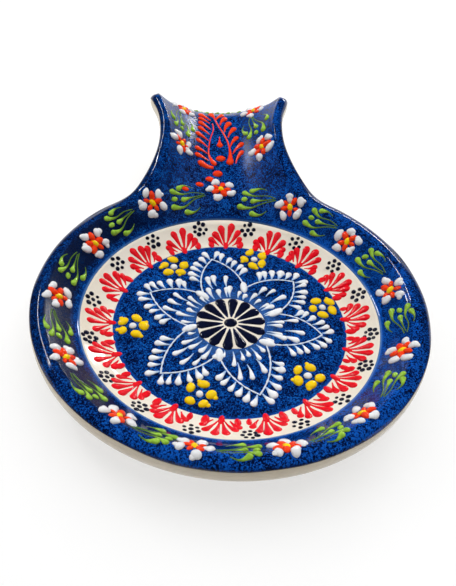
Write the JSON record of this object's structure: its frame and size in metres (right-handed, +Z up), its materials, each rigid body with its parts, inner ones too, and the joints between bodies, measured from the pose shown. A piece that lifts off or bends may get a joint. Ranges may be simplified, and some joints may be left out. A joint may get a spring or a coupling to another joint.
{
  "type": "spoon rest",
  "caption": "Round glazed ceramic spoon rest: a shallow dish with a rolled rim and a raised, flared tongue that carries the handle, painted with raised enamel flowers.",
  "frame": {"origin": "centre of the bounding box in plan, on the plane of the foot ring", "axes": "+Z up, +Y from the dish towards the tongue, X across and symmetric in the clay"},
  "size_m": [0.14, 0.1944, 0.0383],
  "materials": {
    "clay": "cream glazed stoneware, glossy",
    "cobalt_glaze": "speckled cobalt blue glaze, glossy",
    "cream_glaze": "cream glaze, glossy",
    "navy_enamel": "raised navy enamel, glossy",
    "red_enamel": "raised crimson enamel, glossy",
    "orange_enamel": "raised orange-red enamel, glossy",
    "white_enamel": "raised white enamel, glossy",
    "yellow_enamel": "raised yellow enamel, glossy",
    "green_enamel": "raised leaf green enamel, glossy"
  },
  "bodies": {
    "root": {"ceramic_body": "clay", "cobalt_border_glaze": "cobalt_glaze", "cream_ring_glaze": "cream_glaze", "cobalt_centre_glaze": "cobalt_glaze", "rosette_ground": "cream_glaze", "rosette_petals": "navy_enamel", "rosette_eye": "navy_enamel", "navy_dot_flowers": "navy_enamel", "red_fan_strokes": "red_enamel", "white_star_outline": "white_enamel", "white_star_strokes": "white_enamel", "white_inner_strokes": "white_enamel", "yellow_flower_petals": "yellow_enamel", "white_flower_eyes": "white_enamel", "border_daisy_petals": "white_enamel", "border_daisy_hearts": "orange_enamel", "border_daisy_eyes": "yellow_enamel", "border_leaf_sprays": "green_enamel", "tongue_daisy_petals": "white_enamel", "tongue_daisy_hearts": "orange_enamel", "tongue_daisy_eyes": "yellow_enamel", "tongue_leaf_sprays": "green_enamel", "tongue_feather_stems": "orange_enamel", "tongue_feather_strokes": "orange_enamel"}
  },
  "joints": []
}
